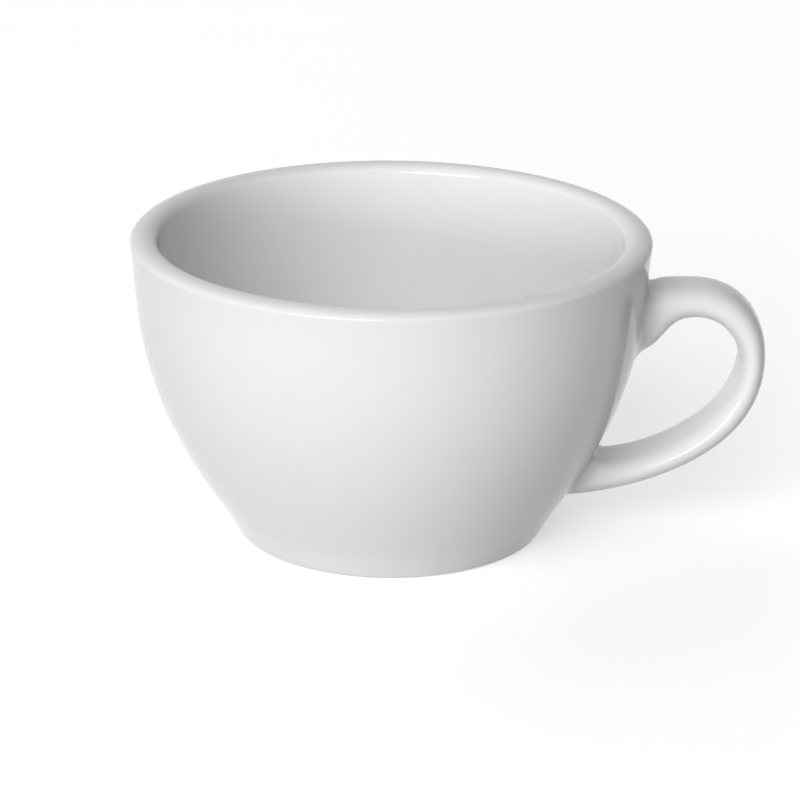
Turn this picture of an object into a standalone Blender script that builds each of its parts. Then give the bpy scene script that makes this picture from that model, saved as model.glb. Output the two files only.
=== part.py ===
"""Cappuccino cup: a turned porcelain body with a strap handle luted to its wall.

Metres, +Z up. The cup stands on z = 0 with its handle towards +X, and the origin is the middle of
the whole outline on the ground. Every piece is shaped about the cup's own axis, then carried there.
"""

import functools
import math
from typing import NamedTuple

import bmesh
import bpy
from mathutils import Vector

# Turned body: outside
RIM_RADIUS = 0.0475
CUP_HEIGHT = 0.0568
FOOT_RADIUS = 0.0286
FOOT_EDGE_ROUND = 0.0012
FOOT_RING_WIDTH = 0.0030  # flat bearing face
FOOT_RECESS = 0.0020  # depth of the hollow inside the foot ring
FOOT_BAND_HEIGHT = 0.0056  # where the straight band round the foot gives way to the curved wall
FOOT_BAND_SLOPE = math.radians(59.5)  # above level
WALL_FOOT_SLOPE = math.radians(55.3)  # above level, where the wall leaves the foot band
WALL_FOOT_PULL = 0.0286  # how far the wall keeps to that slope
WALL_LIP_LEAN = math.radians(6.5)  # off upright, where the wall meets the lip
WALL_LIP_PULL = 0.0121

# Turned body: lip and bowl
LIP_WIDTH = 0.0050
LIP_CREST_IN = 0.0026  # how far the lip's highest line lies inside its outer edge
LIP_OUTER_DROP = 0.0014  # from that line down to the outer edge
LIP_INNER_DROP = 0.0017
BOWL_FLOOR_HEIGHT = 0.0065
BOWL_LIP_LEAN = math.radians(5.0)
BOWL_LIP_PULL = 0.0300
BOWL_FLOOR_PULL = 0.0300

# Strap handle: drops go down from the rim, heights up from the table, outs sideways from the rim
HANDLE_WIDTH = 0.0130
HANDLE_REACH = 0.0213  # the outermost point, measured out
SECTION_POWER = 2.5  # 2 makes an ellipse, more makes a fuller section
UPPER_ROOT_DROP = 0.01055
UPPER_ROOT_DEPTH = 0.01185
CREST_OUT = 0.0080
CREST_DROP = 0.0092
CREST_THICKNESS = 0.0061
TIP_DROP = 0.0233
TIP_THICKNESS = 0.0049
LOWER_ROOT_HEIGHT = 0.0061
LOWER_ROOT_DEPTH = 0.0081

# Slip joints between the handle's roots and the wall
JOINT_FILLET = 0.0016  # radius of the wiped fillet, and the joint's height off the wall
JOINT_GAP = 0.0003  # clearance on both faces of a joint

# Facets
TURN_STEPS = 72
WALL_SPANS = 14
BOWL_SPANS = 14
ROUND_SPANS = 4
SECTION_POINTS = 24
RINGS_PER_SPAN = 10
SMOOTH_ANGLE = math.radians(35.0)
MERGE_DISTANCE = 1e-6
BISECT_ROUNDS = 50

GLAZE_COLOUR = (0.86, 0.86, 0.86, 1.0)
GLAZE_ROUGHNESS = 0.12


class LinePull(NamedTuple):
    """How an edge line of the handle leaves its knots: rises are angles above level, the rest lengths."""

    upper_rise: float
    upper: float
    crest_in: float
    crest_out: float
    tip_up: float
    tip_down: float
    lower_rise: float
    lower: float


OUTER_PULL = LinePull(
    upper_rise=math.radians(24.0),
    upper=0.0040,
    crest_in=0.0080,
    crest_out=0.0063,
    tip_up=0.0102,
    tip_down=0.0196,
    lower_rise=math.radians(9.0),
    lower=0.0140,
)
INNER_PULL = LinePull(
    upper_rise=math.radians(15.0),
    upper=0.0055,
    crest_in=0.0055,
    crest_out=0.0061,
    tip_up=0.0022,
    tip_down=0.0115,
    lower_rise=math.radians(-6.0),
    lower=0.0110,
)

AXIS_X = -HANDLE_REACH / 2  # the cup's axis, seen from the middle of the whole outline


# Plane curves: a point is a Vector of distance from the axis and height


def heading(angle):
    return Vector((math.cos(angle), math.sin(angle)))


def bezier(controls, share):
    start, leave, arrive, end = controls
    rest = 1 - share
    return (
        rest**3 * start
        + 3 * rest**2 * share * leave
        + 3 * rest * share**2 * arrive
        + share**3 * end
    )


def bezier_heading(controls, share):
    start, leave, arrive, end = controls
    rest = 1 - share
    slope = rest**2 * (leave - start) + 2 * rest * share * (arrive - leave) + share**2 * (end - arrive)
    return slope.normalized()


def oval_point(centre, across, up, facing):
    """The point of an upright oval where its outward normal has the angle facing."""
    turn = math.atan2(up * math.sin(facing), across * math.cos(facing))
    return centre + Vector((across * math.cos(turn), up * math.sin(turn)))


def oval(centre, across, up, first, last):
    """Points of an upright oval, from one angle of its outward normal to another."""
    step = (last - first) / ROUND_SPANS
    return [oval_point(centre, across, up, first + step * index) for index in range(ROUND_SPANS + 1)]


def arc(centre, radius, first, last):
    return oval(centre, radius, radius, first, last)


def bisect(low, high, is_past):
    """The value between low and high at which is_past turns true."""
    for _ in range(BISECT_ROUNDS):
        middle = (low + high) / 2
        if is_past(middle):
            high = middle
        else:
            low = middle
    return (low + high) / 2


# Turned body


def foot_edge_centre():
    return Vector((FOOT_RADIUS - FOOT_EDGE_ROUND, FOOT_EDGE_ROUND))


def lip_outer_oval():
    """The centre, half-width and half-height of the oval that rounds the lip's outside."""
    centre = Vector((RIM_RADIUS - LIP_CREST_IN, CUP_HEIGHT - LIP_OUTER_DROP))
    return centre, LIP_CREST_IN, LIP_OUTER_DROP


def lip_inner_oval():
    centre = Vector((RIM_RADIUS - LIP_CREST_IN, CUP_HEIGHT - LIP_INNER_DROP))
    return centre, LIP_WIDTH - LIP_CREST_IN, LIP_INNER_DROP


def foot_band():
    """The low and high ends of the straight band between the foot's rounded edge and the wall."""
    low = foot_edge_centre() + FOOT_EDGE_ROUND * heading(FOOT_BAND_SLOPE - math.pi / 2)
    length = (FOOT_BAND_HEIGHT - low.y) / math.sin(FOOT_BAND_SLOPE)
    return low, low + length * heading(FOOT_BAND_SLOPE)


def wall_controls():
    """The curved outside wall, from the foot band up to the lip's rounded edge."""
    _, foot = foot_band()
    lip = oval_point(*lip_outer_oval(), -WALL_LIP_LEAN)
    leave = foot + WALL_FOOT_PULL * heading(WALL_FOOT_SLOPE)
    arrive = lip - WALL_LIP_PULL * heading(math.pi / 2 - WALL_LIP_LEAN)
    return foot, leave, arrive, lip


def bowl_controls():
    """The inside of the bowl, from the middle of its floor up to the lip's rounded edge."""
    floor = Vector((0.0, BOWL_FLOOR_HEIGHT))
    lip = oval_point(*lip_inner_oval(), math.pi - BOWL_LIP_LEAN)
    leave = floor + Vector((BOWL_FLOOR_PULL, 0.0))
    arrive = lip - BOWL_LIP_PULL * heading(math.pi / 2 - BOWL_LIP_LEAN)
    return floor, leave, arrive, lip


def wall_radius(height):
    _, band_top = foot_band()
    if height < band_top.y:
        return band_top.x - (band_top.y - height) / math.tan(FOOT_BAND_SLOPE)
    controls = wall_controls()
    share = bisect(0.0, 1.0, lambda value: bezier(controls, value).y > height)
    return bezier(controls, share).x


def body_profile():
    """The body's section, from the bowl's floor over the lip and down to the recess under the foot."""
    bowl = [bezier(bowl_controls(), index / BOWL_SPANS) for index in range(BOWL_SPANS)]
    lip_inside = oval(*lip_inner_oval(), math.pi - BOWL_LIP_LEAN, math.pi / 2)
    lip_outside = oval(*lip_outer_oval(), math.pi / 2, -WALL_LIP_LEAN)
    wall = [bezier(wall_controls(), 1 - index / WALL_SPANS) for index in range(1, WALL_SPANS + 1)]
    foot_edge = arc(foot_edge_centre(), FOOT_EDGE_ROUND, FOOT_BAND_SLOPE - math.pi / 2, -math.pi / 2)
    step = FOOT_RECESS / 2
    ring_inside = FOOT_RADIUS - FOOT_EDGE_ROUND - FOOT_RING_WIDTH
    recess_edge = arc(Vector((ring_inside, step)), step, -math.pi / 2, -math.pi)
    recess_corner = arc(Vector((ring_inside - 2 * step, step)), step, 0.0, math.pi / 2)
    middle = Vector((0.0, FOOT_RECESS))
    inside = bowl + lip_inside
    outside = lip_outside[1:] + wall + foot_edge
    return inside + outside + recess_edge + recess_corner[1:] + [middle]


def wall_clearance_profile():
    """A solid core that reaches JOINT_GAP outside the wall, from the lip down to the foot."""
    profile = []
    for index in range(WALL_SPANS + 1):
        share = 1 - index / WALL_SPANS
        along = bezier_heading(wall_controls(), share)
        outward = Vector((along.y, -along.x))
        profile.append(bezier(wall_controls(), share) + JOINT_GAP * outward)
    band_low, _ = foot_band()
    profile.append(band_low + JOINT_GAP * heading(FOOT_BAND_SLOPE - math.pi / 2))
    top_middle = Vector((0.0, profile[0].y))
    bottom_middle = Vector((0.0, profile[-1].y))
    return [top_middle] + profile + [bottom_middle]


# Strap handle: two edge lines in the plane of the cup's axis, with a rounded section between them.
# A station along it runs from 0 at the upper root, by 1 at the crest and 2 at the tip, to the last.

LAST_STATION = 3.0


def on_wall(height):
    return Vector((wall_radius(height), height))


def edge_line(upper, crest, tip, lower, pull):
    """Three curves: upper root to crest, crest to tip, tip to lower root."""
    outward = Vector((1.0, 0.0))
    upward = Vector((0.0, 1.0))
    return (
        (upper, upper + pull.upper * heading(pull.upper_rise), crest - pull.crest_in * outward, crest),
        (crest, crest + pull.crest_out * outward, tip + pull.tip_up * upward, tip),
        (tip, tip - pull.tip_down * upward, lower + pull.lower * heading(pull.lower_rise), lower),
    )


@functools.cache
def handle_lines():
    """The handle's outer and inner edge lines."""
    upper_height = CUP_HEIGHT - UPPER_ROOT_DROP
    crest = Vector((RIM_RADIUS + CREST_OUT, CUP_HEIGHT - CREST_DROP))
    tip = Vector((RIM_RADIUS + HANDLE_REACH, CUP_HEIGHT - TIP_DROP))
    outer = edge_line(on_wall(upper_height), crest, tip, on_wall(LOWER_ROOT_HEIGHT), OUTER_PULL)
    inner = edge_line(
        on_wall(upper_height - UPPER_ROOT_DEPTH),
        crest - Vector((0.0, CREST_THICKNESS)),
        tip - Vector((TIP_THICKNESS, 0.0)),
        on_wall(LOWER_ROOT_HEIGHT + LOWER_ROOT_DEPTH),
        INNER_PULL,
    )
    return outer, inner


def edges_at(station):
    """The outer and inner edge points of the handle at a station."""
    span = min(int(station), int(LAST_STATION) - 1)
    outer, inner = handle_lines()
    return bezier(outer[span], station - span), bezier(inner[span], station - span)


def stand_off(station):
    """How far the handle's middle stands off the wall at a station, measured level."""
    outer, inner = edges_at(station)
    middle = (outer + inner) / 2
    return middle.x - wall_radius(middle.y)


def upper_station(distance):
    return bisect(0.0, 1.0, lambda station: stand_off(station) > distance)


def lower_station(distance):
    return bisect(LAST_STATION - 1, LAST_STATION, lambda station: stand_off(station) < distance)


def rounded_power(value):
    return math.copysign(abs(value) ** (2 / SECTION_POWER), value)


def section_ring(station, grow=0.0, shift=0.0):
    """Points round the handle's section, grown outwards by grow and moved level by shift."""
    outer, inner = edges_at(station)
    middle = (outer + inner) / 2
    across = (outer - inner).normalized()
    half_thickness = (outer - inner).length / 2 + grow
    half_width = HANDLE_WIDTH / 2 + grow
    ring = []
    for index in range(SECTION_POINTS):
        angle = 2 * math.pi * index / SECTION_POINTS
        place = middle + across * half_thickness * rounded_power(math.cos(angle))
        side = half_width * rounded_power(math.sin(angle))
        ring.append(Vector((place.x + shift, side, place.y)))
    return ring


def handle_rings():
    root_clear = JOINT_FILLET + JOINT_GAP
    first, last = upper_station(root_clear), lower_station(root_clear)
    inside = [
        index / RINGS_PER_SPAN
        for index in range(int(LAST_STATION) * RINGS_PER_SPAN + 1)
        if first < index / RINGS_PER_SPAN < last
    ]
    return [section_ring(station) for station in [first] + inside + [last]]


def joint_rings(station_at):
    """A slip joint's rings, from the handle's end to past the wall, widening along the fillet's arc."""
    rings = []
    for index in range(ROUND_SPANS + 1):
        turn = index / ROUND_SPANS * math.pi / 2
        distance = JOINT_FILLET * (1 - math.sin(turn))
        grow = JOINT_FILLET * (1 - math.cos(turn))
        rings.append(section_ring(station_at(distance), grow))
    past_wall = HANDLE_WIDTH / 2  # more than the round wall falls away across the handle's width
    rings.append(section_ring(station_at(0.0), JOINT_FILLET, -past_wall))
    return rings


# Blender objects


def clear_scene():
    for obj in list(bpy.data.objects):
        bpy.data.objects.remove(obj, do_unlink=True)


def new_collection(name):
    collection = bpy.data.collections.new(name)
    bpy.context.scene.collection.children.link(collection)
    return collection


def glazed_porcelain(name):
    material = bpy.data.materials.new(name)
    material.use_nodes = True
    shader = material.node_tree.nodes["Principled BSDF"]
    shader.inputs["Base Color"].default_value = GLAZE_COLOUR
    shader.inputs["Roughness"].default_value = GLAZE_ROUGHNESS
    shader.inputs["Metallic"].default_value = 0.0
    return material


def add_object(name, mesh, collection, axis):
    obj = bpy.data.objects.new(name, mesh)
    obj.parent = axis
    collection.objects.link(obj)
    return obj


def turned_object(name, profile, collection, axis):
    mesh = bpy.data.meshes.new(name)
    points = [(point.x, 0.0, point.y) for point in profile]
    edges = [(index, index + 1) for index in range(len(points) - 1)]
    mesh.from_pydata(points, edges, [])
    obj = add_object(name, mesh, collection, axis)
    screw = obj.modifiers.new("turn", "SCREW")
    screw.axis = "Z"
    screw.angle = 2 * math.pi
    screw.steps = TURN_STEPS
    screw.render_steps = TURN_STEPS
    screw.use_merge_vertices = True
    screw.merge_threshold = MERGE_DISTANCE
    screw.use_smooth_shade = True
    return obj


def lofted_object(name, rings, collection, axis):
    """A closed skin over rings of equal count, capped at both ends."""
    shape = bmesh.new()
    loops = [[shape.verts.new(point) for point in ring] for ring in rings]
    count = len(rings[0])
    for near, far in zip(loops, loops[1:]):
        for index in range(count):
            after = (index + 1) % count
            shape.faces.new((near[index], near[after], far[after], far[index]))
    shape.faces.new(loops[0])
    shape.faces.new(loops[-1])
    bmesh.ops.recalc_face_normals(shape, faces=shape.faces)
    mesh = bpy.data.meshes.new(name)
    shape.to_mesh(mesh)
    shape.free()
    mesh.shade_smooth()
    mesh.set_sharp_from_angle(angle=SMOOTH_ANGLE)
    return add_object(name, mesh, collection, axis)


def cut(obj, cutter):
    boolean = obj.modifiers.new("cut to the wall", "BOOLEAN")
    boolean.operation = "DIFFERENCE"
    boolean.solver = "EXACT"
    boolean.object = cutter


def main():
    clear_scene()
    pieces = new_collection("cappuccino_cup")
    cutters = new_collection("cutters")
    axis = bpy.data.objects.new("cup_axis", None)
    axis.location = (AXIS_X, 0.0, 0.0)
    pieces.objects.link(axis)

    wall_cutter = turned_object("wall_clearance", wall_clearance_profile(), cutters, axis)
    wall_cutter.hide_render = True
    wall_cutter.display_type = "WIRE"

    body = turned_object("cup_body", body_profile(), pieces, axis)
    handle = lofted_object("handle", handle_rings(), pieces, axis)
    upper_joint = lofted_object("upper_slip_joint", joint_rings(upper_station), pieces, axis)
    lower_joint = lofted_object("lower_slip_joint", joint_rings(lower_station), pieces, axis)
    cut(upper_joint, wall_cutter)
    cut(lower_joint, wall_cutter)
    for piece in (body, handle, upper_joint, lower_joint):
        piece.data.materials.append(glazed_porcelain(piece.name + "_glaze"))


main()
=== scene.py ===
"""Looks of a white porcelain cappuccino cup: glazed body, strap handle and the wiped joints between them."""

import math
from typing import NamedTuple

import bmesh
import bpy
import numpy as np
from mathutils import Matrix, Vector


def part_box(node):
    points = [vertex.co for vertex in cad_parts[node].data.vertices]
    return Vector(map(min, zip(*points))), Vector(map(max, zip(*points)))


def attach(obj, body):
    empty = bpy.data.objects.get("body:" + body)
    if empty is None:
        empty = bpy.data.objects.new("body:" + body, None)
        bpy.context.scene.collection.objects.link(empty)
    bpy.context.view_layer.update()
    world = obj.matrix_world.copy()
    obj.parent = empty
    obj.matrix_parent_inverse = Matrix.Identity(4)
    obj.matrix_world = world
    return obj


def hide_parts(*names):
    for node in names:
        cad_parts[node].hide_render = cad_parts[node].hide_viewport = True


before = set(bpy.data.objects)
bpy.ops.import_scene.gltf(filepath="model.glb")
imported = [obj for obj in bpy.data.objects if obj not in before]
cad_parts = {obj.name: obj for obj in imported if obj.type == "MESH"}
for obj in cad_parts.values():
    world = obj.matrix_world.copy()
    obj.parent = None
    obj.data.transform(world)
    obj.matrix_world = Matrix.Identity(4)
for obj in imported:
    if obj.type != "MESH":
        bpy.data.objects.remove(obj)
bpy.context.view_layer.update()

# Sizes taken from the frame, in metres
body_low, body_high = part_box("cup_body")
handle_low, handle_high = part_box("handle")
RIM_RADIUS = (body_high.y - body_low.y) / 2
CUP_HEIGHT = body_high.z
AXIS_X = body_low.x + RIM_RADIUS
HANDLE_REACH = handle_high.x - AXIS_X - RIM_RADIUS
HANDLE_WIDTH = handle_high.y - handle_low.y

# Turned body: outside
FOOT_RADIUS = 0.0286
FOOT_EDGE_ROUND = 0.0012
FOOT_RING_WIDTH = 0.0030
FOOT_RECESS = 0.0020
FOOT_BAND_HEIGHT = 0.0056
FOOT_BAND_SLOPE = math.radians(59.5)
FOOT_BAND_BLEND = 0.0020  # how far the corner above the foot band is eased, each way
WALL_FOOT_SLOPE = math.radians(55.3)
WALL_FOOT_PULL = 0.0286
WALL_LIP_LEAN = math.radians(6.5)
WALL_LIP_PULL = 0.0121

# Turned body: lip and bowl
LIP_WIDTH = 0.0050
LIP_CREST_IN = 0.0026  # how far the lip's highest line lies inside its outer edge
LIP_OUTER_DROP = 0.0014  # from that line down to the outer edge
LIP_INNER_DROP = 0.0017
BOWL_FLOOR_HEIGHT = 0.0065
BOWL_LIP_LEAN = math.radians(5.0)
BOWL_LIP_PULL = 0.0300
BOWL_FLOOR_PULL = 0.0300

# Strap handle: drops go down from the rim, heights up from the table, outs sideways from the rim
FACE_FLATNESS = 3.0  # 2 would make the section a plain oval
UPPER_ROOT_DROP = 0.0098
UPPER_ROOT_DEPTH = 0.0126
CREST_OUT = 0.0080
CREST_DROP = 0.0092
CREST_THICKNESS = 0.0061
TIP_DROP = 0.0233
TIP_THICKNESS = 0.0049
LOWER_ROOT_HEIGHT = 0.0066
LOWER_ROOT_DEPTH = 0.0076
ROOT_SINK = 0.0020  # how far the handle's ends run on inside the wall

# Joints: each wiped fillet's radius on top of its root, a control value that draws its sides, and its
# radius underneath
UPPER_FILLET = (0.0008, 0.0072, 0.0056)
LOWER_FILLET = (0.0022, 0.0062, 0.0030)
FILLET_FULLNESS = 0.7  # how far its edges head for the bare corner before they bend away from it
FILLET_TAIL = 0.0003  # how far a fillet runs on past its contact lines, just under the surface
FILLET_TAIL_SINK = 0.000015
FILLET_ROOT_SINK = 0.0004

# Facets, and the samples that contacts and normals are found with
TURN_STEPS = 256
WALL_POINTS = 72
BOWL_POINTS = 72
ROUND_SPANS = 12
FILLET_SPANS = 20
SECTION_POINTS = 96
RINGS_PER_SPAN = 40
SHARP_ANGLE = math.radians(40.0)  # edges that bend further stay crisp
BISECT_ROUNDS = 40
WALL_SAMPLES = 3000
NORMAL_STEP = 1e-4  # in stations along the handle and in radians round it


class LinePull(NamedTuple):
    """How an edge line of the handle leaves its knots: rises are angles above level, the rest lengths."""

    upper_rise: float
    upper: float
    crest_in: float
    crest_out: float
    tip_up: float
    tip_down: float
    lower_rise: float
    lower: float


OUTER_PULL = LinePull(
    upper_rise=math.radians(8.0),
    upper=0.0040,
    crest_in=0.0080,
    crest_out=0.0063,
    tip_up=0.0102,
    tip_down=0.0221,
    lower_rise=math.radians(2.0),
    lower=0.0060,
)
INNER_PULL = LinePull(
    upper_rise=math.radians(15.0),
    upper=0.0055,
    crest_in=0.0055,
    crest_out=0.0061,
    tip_up=0.0022,
    tip_down=0.0115,
    lower_rise=math.radians(-6.0),
    lower=0.0110,
)


# Plane curves: a point is an array of distance from the axis and height


def heading(angle):
    return np.array((math.cos(angle), math.sin(angle)))


def bezier(controls, shares):
    start, leave, arrive, end = controls
    share = np.asarray(shares, float)[..., None]
    rest = 1 - share
    return rest**3 * start + 3 * rest**2 * share * leave + 3 * rest * share**2 * arrive + share**3 * end


def oval_points(centre, across, up, facing):
    """Points of an upright oval where its outward normals have the angles facing."""
    turn = np.arctan2(up * np.sin(facing), across * np.cos(facing))
    return centre + np.stack([across * np.cos(turn), up * np.sin(turn)], axis=-1)


def oval(centre, across, up, first, last):
    return oval_points(centre, across, up, np.linspace(first, last, ROUND_SPANS + 1))


def arc(centre, radius, first, last):
    return oval(centre, radius, radius, first, last)


def normals_right_of(line):
    """Unit normals on the right-hand side of a line of plane points."""
    along = np.gradient(line, axis=0)
    along /= np.linalg.norm(along, axis=1)[:, None]
    return np.stack([along[:, 1], -along[:, 0]], axis=1)


# Meshes


def faces_between(shape, near, far):
    """New faces that join two closed rings of points. A ring on the axis is one point over and over."""
    faces = []
    for index in range(len(near)):
        after = (index + 1) % len(near)
        corners = dict.fromkeys((near[index], near[after], far[after], far[index]))
        faces.append(shape.faces.new(tuple(corners)))
    return faces


def finished_mesh(name, shape):
    bmesh.ops.recalc_face_normals(shape, faces=shape.faces)
    mesh = bpy.data.meshes.new(name)
    shape.to_mesh(mesh)
    shape.free()
    mesh.shade_smooth()
    mesh.set_sharp_from_angle(angle=SHARP_ANGLE)
    return mesh


# Turned body

FOOT_EDGE_CENTRE = np.array((FOOT_RADIUS - FOOT_EDGE_ROUND, FOOT_EDGE_ROUND))

# The lip's two ovals: centre, half-width and half-height
LIP_OUTER_OVAL = (
    np.array((RIM_RADIUS - LIP_CREST_IN, CUP_HEIGHT - LIP_OUTER_DROP)),
    LIP_CREST_IN,
    LIP_OUTER_DROP,
)
LIP_INNER_OVAL = (
    np.array((RIM_RADIUS - LIP_CREST_IN, CUP_HEIGHT - LIP_INNER_DROP)),
    LIP_WIDTH - LIP_CREST_IN,
    LIP_INNER_DROP,
)


def foot_band():
    """The low and high ends of the straight band between the foot's rounded edge and the wall."""
    low = FOOT_EDGE_CENTRE + FOOT_EDGE_ROUND * heading(FOOT_BAND_SLOPE - math.pi / 2)
    length = (FOOT_BAND_HEIGHT - low[1]) / math.sin(FOOT_BAND_SLOPE)
    return low, low + length * heading(FOOT_BAND_SLOPE)


def wall_controls():
    """The curved outside wall, from the foot band up to the lip's rounded edge."""
    _, foot = foot_band()
    lip = oval_points(*LIP_OUTER_OVAL, -WALL_LIP_LEAN)
    leave = foot + WALL_FOOT_PULL * heading(WALL_FOOT_SLOPE)
    arrive = lip - WALL_LIP_PULL * heading(math.pi / 2 - WALL_LIP_LEAN)
    return foot, leave, arrive, lip


def wall_line(count):
    """The outside of the wall from the foot's rounded edge up to the lip's, the band's corner eased.

    The easing and the wall above it have count points each.
    """
    band_low, corner = foot_band()
    blend_share = FOOT_BAND_BLEND / (3 * WALL_FOOT_PULL)
    before = corner - FOOT_BAND_BLEND * heading(FOOT_BAND_SLOPE)
    after = bezier(wall_controls(), blend_share)
    easing = before, (before + 2 * corner) / 3, (after + 2 * corner) / 3, after
    eased = bezier(easing, np.linspace(0, 1, count))
    upper = bezier(wall_controls(), np.linspace(blend_share, 1, count))
    return np.concatenate([[band_low], eased, upper[1:]])


def bowl_line():
    """The inside of the bowl, from the middle of its floor up to the lip's rounded edge."""
    floor = np.array((0.0, BOWL_FLOOR_HEIGHT))
    lip = oval_points(*LIP_INNER_OVAL, math.pi - BOWL_LIP_LEAN)
    leave = floor + BOWL_FLOOR_PULL * heading(0.0)
    arrive = lip - BOWL_LIP_PULL * heading(math.pi / 2 - BOWL_LIP_LEAN)
    return bezier((floor, leave, arrive, lip), np.linspace(0, 1, BOWL_POINTS))


def body_profile():
    """The body's section from the bowl's floor to the middle underneath, and where its bare ring starts."""
    lip_inside = oval(*LIP_INNER_OVAL, math.pi - BOWL_LIP_LEAN, math.pi / 2)
    lip_outside = oval(*LIP_OUTER_OVAL, math.pi / 2, -WALL_LIP_LEAN)
    wall = wall_line(WALL_POINTS)[::-1]
    foot_edge = arc(FOOT_EDGE_CENTRE, FOOT_EDGE_ROUND, FOOT_BAND_SLOPE - math.pi / 2, -math.pi / 2)
    step = FOOT_RECESS / 2
    ring_inside = FOOT_RADIUS - FOOT_EDGE_ROUND - FOOT_RING_WIDTH
    recess_edge = arc(np.array((ring_inside, step)), step, -math.pi / 2, -math.pi)
    recess_corner = arc(np.array((ring_inside - 2 * step, step)), step, 0.0, math.pi / 2)
    middle = np.array([(0.0, FOOT_RECESS)])
    above_ring = np.concatenate([bowl_line(), lip_inside[1:], lip_outside[1:], wall[1:], foot_edge[1:]])
    below_ring = np.concatenate([recess_edge, recess_corner[1:], middle])
    return np.concatenate([above_ring, below_ring]), len(above_ring) - 1


def turned_mesh(name, profile, bare_span):
    """A closed skin turned from a profile that starts and ends on the axis."""
    shape = bmesh.new()
    turns = np.linspace(0, 2 * math.pi, TURN_STEPS, endpoint=False)
    rings = []
    for radius, height in profile:
        if radius == 0.0:
            rings.append([shape.verts.new((0.0, 0.0, height))] * TURN_STEPS)
            continue
        rings.append([shape.verts.new((radius * math.cos(t), radius * math.sin(t), height)) for t in turns])
    for span, (near, far) in enumerate(zip(rings, rings[1:])):
        for face in faces_between(shape, near, far):
            face.material_index = int(span == bare_span)
    return finished_mesh(name, shape)


# Strap handle: two edge lines in the plane of the cup's axis, with a rounded section between them.
# A station along it runs from 0 at the upper root, by 1 at the crest and 2 at the tip, to the last.
# Stations past either end run level into the wall.

LAST_STATION = 3


def on_wall(height):
    line = wall_line(WALL_SAMPLES)
    return np.array((np.interp(height, line[:, 1], line[:, 0]), height))


def edge_line(upper, crest, tip, lower, pull):
    """Three curves: upper root to crest, crest to tip, tip to lower root."""
    outward = heading(0.0)
    upward = heading(math.pi / 2)
    return np.array(
        (
            (upper, upper + pull.upper * heading(pull.upper_rise), crest - pull.crest_in * outward, crest),
            (crest, crest + pull.crest_out * outward, tip + pull.tip_up * upward, tip),
            (tip, tip - pull.tip_down * upward, lower + pull.lower * heading(pull.lower_rise), lower),
        )
    )


def handle_lines():
    """The handle's outer and inner edge lines."""
    upper_height = CUP_HEIGHT - UPPER_ROOT_DROP
    crest = np.array((RIM_RADIUS + CREST_OUT, CUP_HEIGHT - CREST_DROP))
    tip = np.array((RIM_RADIUS + HANDLE_REACH, CUP_HEIGHT - TIP_DROP))
    outer = edge_line(on_wall(upper_height), crest, tip, on_wall(LOWER_ROOT_HEIGHT), OUTER_PULL)
    inner = edge_line(
        on_wall(upper_height - UPPER_ROOT_DEPTH),
        crest - np.array((0.0, CREST_THICKNESS)),
        tip - np.array((TIP_THICKNESS, 0.0)),
        on_wall(LOWER_ROOT_HEIGHT + LOWER_ROOT_DEPTH),
        INNER_PULL,
    )
    return outer, inner


OUTER_LINE, INNER_LINE = handle_lines()
SECTION_ANGLES = np.linspace(0, 2 * math.pi, SECTION_POINTS, endpoint=False)


def edge_points(line, stations):
    inside = np.clip(stations, 0, LAST_STATION)
    span = np.minimum(inside.astype(int), LAST_STATION - 1)
    points = bezier(np.moveaxis(line[span], -2, 0), inside - span)
    points[..., 0] -= ROOT_SINK * np.abs(stations - inside)
    return points


def handle_points(stations, angles):
    """Points of the handle's skin, at matching arrays of stations and section angles."""
    stations, angles = np.broadcast_arrays(np.asarray(stations, float), np.asarray(angles, float))
    outer = edge_points(OUTER_LINE, stations)
    inner = edge_points(INNER_LINE, stations)
    place = (outer + inner) / 2 + (outer - inner) / 2 * np.cos(angles)[..., None]
    across = np.sin(angles)
    side = HANDLE_WIDTH / 2 * np.sign(across) * np.abs(across) ** (2 / FACE_FLATNESS)
    return np.stack([place[..., 0], side, place[..., 1]], axis=-1)


def handle_normals(stations, angles):
    """Outward unit normals of the handle's skin."""
    along = handle_points(stations + NORMAL_STEP, angles) - handle_points(stations - NORMAL_STEP, angles)
    around = handle_points(stations, angles + NORMAL_STEP) - handle_points(stations, angles - NORMAL_STEP)
    normals = np.cross(along, around)
    normals /= np.linalg.norm(normals, axis=-1)[..., None]
    return normals


def handle_mesh(name):
    between = np.linspace(0, LAST_STATION, LAST_STATION * RINGS_PER_SPAN + 1)
    stations = np.concatenate([[-1.0], between, [LAST_STATION + 1.0]])
    shape = bmesh.new()
    rings = [[shape.verts.new(point) for point in handle_points(s, SECTION_ANGLES)] for s in stations]
    for near, far in zip(rings, rings[1:]):
        faces_between(shape, near, far)
    shape.faces.new(rings[0])
    shape.faces.new(rings[-1])
    return finished_mesh(name, shape)


# Joints: a ball is rolled round each root, touching the handle and the wall, and a fillet joins its tracks


class Wall(NamedTuple):
    line: np.ndarray
    normals: np.ndarray

    def nearest(self, points):
        """How far points stand off the wall, with the wall's nearest points and outward normals."""
        radius = np.hypot(points[:, 0], points[:, 1])
        gap = np.stack([radius, points[:, 2]], axis=1)[:, None] - self.line[None]
        index = np.argmin(np.linalg.norm(gap, axis=2), axis=1)
        normal = self.normals[index]
        outward = points[:, :2] / radius[:, None]
        distance = np.sum(gap[np.arange(len(points)), index] * normal, axis=1)
        normal = np.concatenate([outward * normal[:, :1], normal[:, 1:]], axis=1)
        return distance, points - distance[:, None] * normal, normal


def blended(controls, share):
    """The point at a share of the way along a smooth curve drawn by any number of control points."""
    degree = len(controls) - 1
    weights = [math.comb(degree, i) * (1 - share) ** (degree - i) * share**i for i in range(degree + 1)]
    return sum(weight * control for weight, control in zip(weights, controls))


def fillet_radii(radii, underside):
    """A fillet's radius at each section angle. The angle's cosine is underside underneath the handle."""
    return blended(radii, (1 + underside * np.cos(SECTION_ANGLES)) / 2)


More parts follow.
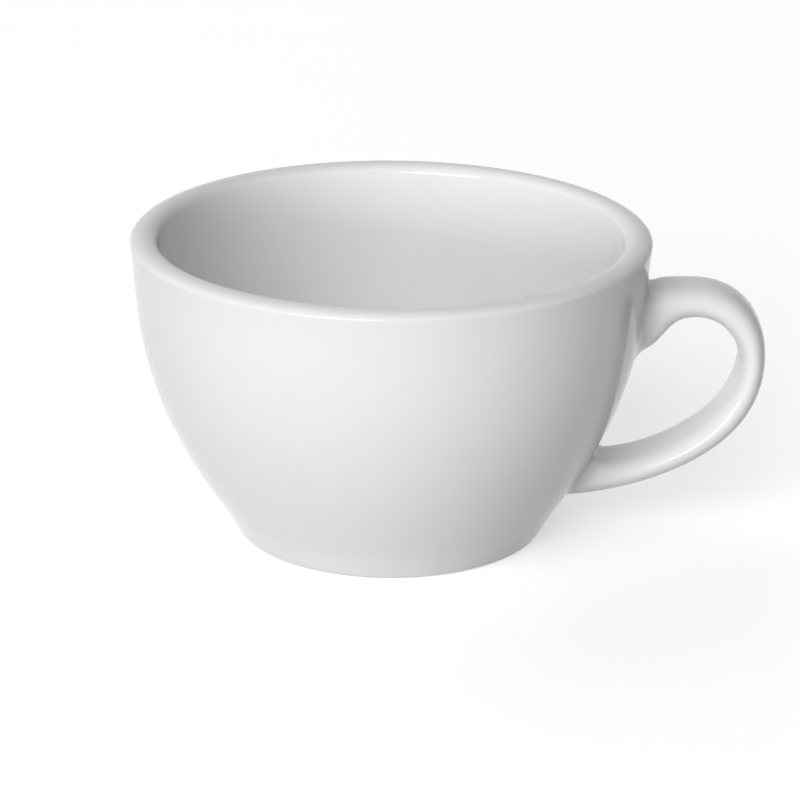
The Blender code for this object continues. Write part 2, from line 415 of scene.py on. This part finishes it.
def fillet_loops(wall, radius, near_station, far_station):
    """Loops round a root that carry its fillet, from radii at each section angle.

    They go from a tail on the handle over the fillet to a tail on the wall, then back inside the clay.
    The wall is on the near station's side.
    """
    near = np.full(SECTION_POINTS, float(near_station))
    far = np.full(SECTION_POINTS, float(far_station))
    for _ in range(BISECT_ROUNDS):
        middle = (near + far) / 2
        centre = handle_points(middle, SECTION_ANGLES)
        centre = centre + radius[:, None] * handle_normals(middle, SECTION_ANGLES)
        clear = wall.nearest(centre)[0] > radius
        far = np.where(clear, middle, far)
        near = np.where(clear, near, middle)
    station = (near + far) / 2
    touch = handle_points(station, SECTION_ANGLES)
    normal = handle_normals(station, SECTION_ANGLES)
    centre = touch + radius[:, None] * normal
    _, wall_touch, wall_normal = wall.nearest(centre)

    spread = 1 + np.sum(normal * wall_normal, axis=1)
    corner = centre - (radius / spread)[:, None] * (normal + wall_normal)
    handle_pull = FILLET_FULLNESS * (corner - touch)
    wall_pull = FILLET_FULLNESS * (corner - wall_touch)
    controls = (
        touch,
        touch + handle_pull / 2,
        touch + handle_pull,
        wall_touch + wall_pull,
        wall_touch + wall_pull / 2,
        wall_touch,
    )
    blend = [blended(controls, share) for share in np.linspace(0, 1, FILLET_SPANS + 1)]

    handle_way = -handle_pull / np.linalg.norm(handle_pull, axis=1)[:, None]
    wall_way = -wall_pull / np.linalg.norm(wall_pull, axis=1)[:, None]
    handle_tail = touch + FILLET_TAIL * handle_way
    wall_tail = wall_touch + FILLET_TAIL * wall_way
    return [
        handle_tail - FILLET_TAIL_SINK * normal,
        *blend,
        wall_tail - FILLET_TAIL_SINK * wall_normal,
        wall_tail - FILLET_ROOT_SINK * wall_normal,
        corner - FILLET_ROOT_SINK * (normal + wall_normal),
        handle_tail - FILLET_ROOT_SINK * normal,
    ]


def fillet_mesh(name, loops):
    """A closed ring whose skin runs through the loops and back to the first."""
    shape = bmesh.new()
    rows = [[shape.verts.new(point) for point in loop] for loop in loops]
    for near, far in zip(rows, rows[1:] + rows[:1]):
        faces_between(shape, near, far)
    return finished_mesh(name, shape)


# Materials: noise scales are in cells to the metre, depths in metres

GLAZE_THICK = (0.858, 0.858, 0.858, 1.0)
GLAZE_THIN = (0.836, 0.836, 0.835, 1.0)
GLAZE_LEAST_ROUGH = 0.06
GLAZE_MOST_ROUGH = 0.11
FLOW_SCALE = 70.0
FLOW_DETAIL = 2.0
FLOW_DEPTH = 0.00002
PEEL_SCALE = 900.0
PEEL_DETAIL = 1.0
PEEL_DEPTH = 0.0000006

CLAY_DARK = (0.66, 0.64, 0.60, 1.0)
CLAY_PALE = (0.80, 0.78, 0.74, 1.0)
CLAY_ROUGHNESS = 0.8
GRAIN_SCALE = 2500.0
GRAIN_DETAIL = 4.0
GRAIN_DEPTH = 0.00002


def add_node(tree, kind, **values):
    """A shader node with its properties and unlinked inputs set by name."""
    node = tree.nodes.new(kind)
    for name, value in values.items():
        if name in node.inputs:
            node.inputs[name].default_value = value
        else:
            setattr(node, name, value)
    return node


def add_noise(tree, place, scale, detail):
    noise = add_node(tree, "ShaderNodeTexNoise", Scale=scale, Detail=detail)
    tree.links.new(place, noise.inputs["Vector"])
    return noise.outputs["Fac"]


def add_bump(tree, height, depth):
    bump = add_node(tree, "ShaderNodeBump", Strength=1.0, Distance=depth)
    tree.links.new(height, bump.inputs["Height"])
    return bump


def mixed_colour(tree, share, first, second):
    mix = add_node(tree, "ShaderNodeMix", data_type="RGBA")
    tree.links.new(share, mix.inputs["Factor"])
    mix.inputs["A"].default_value = first
    mix.inputs["B"].default_value = second
    return mix.outputs["Result"]


def new_material(name):
    material = bpy.data.materials.new(name)
    material.use_nodes = True
    tree = material.node_tree
    return material, tree, tree.nodes["Principled BSDF"]


def glaze(name):
    """White gloss glaze: a little thicker here and thinner there, with a slow ripple and fine orange peel."""
    material, tree, shader = new_material(name)
    link = tree.links.new
    place = add_node(tree, "ShaderNodeTexCoord").outputs["Object"]
    flow = add_noise(tree, place, FLOW_SCALE, FLOW_DETAIL)
    link(mixed_colour(tree, flow, GLAZE_THIN, GLAZE_THICK), shader.inputs["Base Color"])

    gloss = add_node(tree, "ShaderNodeMapRange")
    gloss.inputs["To Min"].default_value = GLAZE_LEAST_ROUGH
    gloss.inputs["To Max"].default_value = GLAZE_MOST_ROUGH
    link(flow, gloss.inputs["Value"])
    link(gloss.outputs["Result"], shader.inputs["Roughness"])

    ripple = add_bump(tree, flow, FLOW_DEPTH)
    peel = add_bump(tree, add_noise(tree, place, PEEL_SCALE, PEEL_DETAIL), PEEL_DEPTH)
    link(ripple.outputs["Normal"], peel.inputs["Normal"])
    link(peel.outputs["Normal"], shader.inputs["Normal"])
    return material


def bare_clay(name):
    """The unglazed ring that the cup stood on in the kiln: matt, a little warm, finely grained."""
    material, tree, shader = new_material(name)
    link = tree.links.new
    place = add_node(tree, "ShaderNodeTexCoord").outputs["Object"]
    grain = add_noise(tree, place, GRAIN_SCALE, GRAIN_DETAIL)
    link(mixed_colour(tree, grain, CLAY_DARK, CLAY_PALE), shader.inputs["Base Color"])
    shader.inputs["Roughness"].default_value = CLAY_ROUGHNESS
    link(add_bump(tree, grain, GRAIN_DEPTH).outputs["Normal"], shader.inputs["Normal"])
    return material


# Pieces


def add_piece(mesh, nodes, materials):
    """A new piece about the cup's axis, riding on the one body and standing for CAD nodes."""
    piece = bpy.data.objects.new(mesh.name, mesh)
    bpy.context.scene.collection.objects.link(piece)
    mesh.transform(Matrix.Translation((AXIS_X, 0.0, 0.0)))
    for material in materials:
        mesh.materials.append(material)
    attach(piece, "root")
    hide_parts(*nodes)


def build_cup():
    profile, bare_span = body_profile()
    body_materials = [glaze("body_glaze"), bare_clay("bare_foot_ring")]
    add_piece(turned_mesh("glazed_body", profile, bare_span), ["cup_body"], body_materials)
    add_piece(handle_mesh("strap_handle"), ["handle"], [glaze("handle_glaze")])

    line = wall_line(WALL_SAMPLES)
    wall = Wall(line, normals_right_of(line))
    joint_glaze = glaze("joint_glaze")
    upper = fillet_loops(wall, fillet_radii(UPPER_FILLET, -1), -1.0, 1.0)
    lower = fillet_loops(wall, fillet_radii(LOWER_FILLET, 1), LAST_STATION + 1.0, LAST_STATION - 1.0)
    add_piece(fillet_mesh("upper_joint_fillet", upper), ["upper_slip_joint"], [joint_glaze])
    add_piece(fillet_mesh("lower_joint_fillet", lower), ["lower_slip_joint"], [joint_glaze])


# Studio

AIM_HEIGHT = 0.0285
AIM = Vector((AXIS_X, 0.0, AIM_HEIGHT))  # the point that the camera and the soft box are set about
CAMERA_ELEVATION = math.radians(19.637)
CAMERA_DISTANCE = 0.665
CAMERA_TILT = math.radians(0.365)  # how far below the aim point the camera looks
CAMERA_YAW = math.radians(0.163)
CAMERA_ROLL = math.radians(0.457)
CAMERA_LENS = 162.16  # millimetres, and so is the sensor
CAMERA_SENSOR = 36.0
CAMERA_CLIP = (0.01, 100.0)

FLOOR_SIZE = 12.0
FLOOR_DROP = 0.00005  # keeps the floor clear of the foot ring's face
FLOOR_SEEN = (0.80, 0.80, 0.80, 1.0)  # the floor's colour in the picture and in reflections
FLOOR_BOUNCE = (0.45, 0.45, 0.45, 1.0)  # its colour for the light that it sends back on the cup
FLOOR_WHITE = 0.52  # what the floor shows of its own white, beside the light that falls on it
BACKGROUND_WHITE = 1.0


class SoftLight(NamedTuple):
    """A patch of light in the world: where its middle stands, how far it fades out, and its strength."""

    azimuth: float
    elevation: float
    reach: float
    strength: float


KEY = SoftLight(math.radians(-18.0), math.radians(32.0), math.radians(37.0), 4.4)
BACK = SoftLight(math.radians(-150.0), math.radians(30.0), math.radians(53.0), 1.55)

# A low soft box at the front left, which gives the glaze its highlights
BOX_AZIMUTH = math.radians(-24.0)
BOX_ELEVATION = math.radians(7.0)
BOX_DISTANCE = 1.0
BOX_WIDTH = 0.73
BOX_HEIGHT = 0.15
BOX_RADIANCE = 10.0


def way_to(azimuth, elevation):
    """Unit vector from the cup towards a place: azimuth from the front, to the right."""
    level = math.cos(elevation)
    return Vector((math.sin(azimuth) * level, -math.cos(azimuth) * level, math.sin(elevation)))


def add_camera():
    camera = bpy.data.cameras.new("camera")
    camera.sensor_width = CAMERA_SENSOR
    camera.lens = CAMERA_LENS
    camera.clip_start, camera.clip_end = CAMERA_CLIP
    obj = bpy.data.objects.new("camera", camera)
    obj.location = AIM + CAMERA_DISTANCE * way_to(0.0, CAMERA_ELEVATION)
    forward = -way_to(-CAMERA_YAW, CAMERA_ELEVATION + CAMERA_TILT)
    turn = forward.to_track_quat("-Z", "Y").to_matrix() @ Matrix.Rotation(CAMERA_ROLL, 3, "Z")
    obj.rotation_euler = turn.to_euler()
    bpy.context.scene.collection.objects.link(obj)
    bpy.context.scene.camera = obj


def seen_directly(tree):
    """1 for rays from the camera, and for those that a gloss or a glass sends on; else 0."""
    path = add_node(tree, "ShaderNodeLightPath")
    first = add_node(tree, "ShaderNodeMath", operation="MAXIMUM")
    second = add_node(tree, "ShaderNodeMath", operation="MAXIMUM")
    tree.links.new(path.outputs["Is Camera Ray"], first.inputs[0])
    tree.links.new(path.outputs["Is Glossy Ray"], first.inputs[1])
    tree.links.new(first.outputs[0], second.inputs[0])
    tree.links.new(path.outputs["Is Transmission Ray"], second.inputs[1])
    return second.outputs[0]


def floor_white():
    """White where it is seen, greyer for the light that it sends back, and see-through from below."""
    material = bpy.data.materials.new("floor_white")
    material.use_nodes = True
    tree = material.node_tree
    tree.nodes.clear()
    link = tree.links.new
    seen = seen_directly(tree)
    diffuse = add_node(tree, "ShaderNodeBsdfDiffuse")
    link(mixed_colour(tree, seen, FLOOR_BOUNCE, FLOOR_SEEN), diffuse.inputs["Color"])
    level = add_node(tree, "ShaderNodeMath", operation="MULTIPLY")
    level.inputs[1].default_value = FLOOR_WHITE
    link(seen, level.inputs[0])
    white = add_node(tree, "ShaderNodeEmission")
    link(level.outputs[0], white.inputs["Strength"])
    both = add_node(tree, "ShaderNodeAddShader")
    link(diffuse.outputs[0], both.inputs[0])
    link(white.outputs[0], both.inputs[1])
    below = add_node(tree, "ShaderNodeNewGeometry")
    clear = add_node(tree, "ShaderNodeBsdfTransparent")
    mix = add_node(tree, "ShaderNodeMixShader")
    link(below.outputs["Backfacing"], mix.inputs["Fac"])
    link(both.outputs[0], mix.inputs[1])
    link(clear.outputs[0], mix.inputs[2])
    output = add_node(tree, "ShaderNodeOutputMaterial")
    link(mix.outputs[0], output.inputs["Surface"])
    return material


def add_floor():
    """A plain floor that keeps the cup's shadow."""
    bpy.ops.mesh.primitive_plane_add(size=FLOOR_SIZE, location=(0.0, 0.0, -FLOOR_DROP))
    floor = bpy.context.object
    floor.name = "floor"
    floor.data.materials.append(floor_white())


def set_world():
    """Soft light from the front left and the back left. Where the world itself is seen, it is white."""
    world = bpy.data.worlds.new("studio")
    bpy.context.scene.world = world
    world.use_nodes = True
    tree = world.node_tree
    tree.nodes.clear()
    link = tree.links.new
    way = add_node(tree, "ShaderNodeTexCoord").outputs["Generated"]
    total = add_node(tree, "ShaderNodeMath", operation="ADD")
    for light, term in zip((KEY, BACK), total.inputs):
        facing = add_node(tree, "ShaderNodeVectorMath", operation="DOT_PRODUCT")
        facing.inputs[1].default_value = way_to(light.azimuth, light.elevation)
        link(way, facing.inputs[0])
        patch = add_node(tree, "ShaderNodeMapRange", interpolation_type="SMOOTHSTEP")
        patch.inputs["From Min"].default_value = math.cos(light.reach)
        patch.inputs["To Max"].default_value = light.strength
        link(facing.outputs["Value"], patch.inputs["Value"])
        link(patch.outputs["Result"], term)
    level = add_node(tree, "ShaderNodeMix", data_type="FLOAT")
    link(seen_directly(tree), level.inputs["Factor"])
    link(total.outputs[0], level.inputs["A"])
    level.inputs["B"].default_value = BACKGROUND_WHITE
    background = add_node(tree, "ShaderNodeBackground")
    link(level.outputs["Result"], background.inputs["Strength"])
    output = add_node(tree, "ShaderNodeOutputWorld")
    link(background.outputs[0], output.inputs["Surface"])


def add_soft_box():
    lamp = bpy.data.lights.new("soft_box", "AREA")
    lamp.shape = "RECTANGLE"
    lamp.size = BOX_WIDTH
    lamp.size_y = BOX_HEIGHT
    lamp.energy = BOX_RADIANCE * BOX_WIDTH * BOX_HEIGHT * math.pi
    box = bpy.data.objects.new("soft_box", lamp)
    way = way_to(BOX_AZIMUTH, BOX_ELEVATION)
    box.location = AIM + BOX_DISTANCE * way
    box.rotation_euler = way.to_track_quat("Z", "Y").to_euler()
    box.visible_camera = False
    bpy.context.scene.collection.objects.link(box)


bpy.context.scene.view_settings.view_transform = "Standard"
build_cup()
add_camera()
add_floor()
set_world()
add_soft_box()
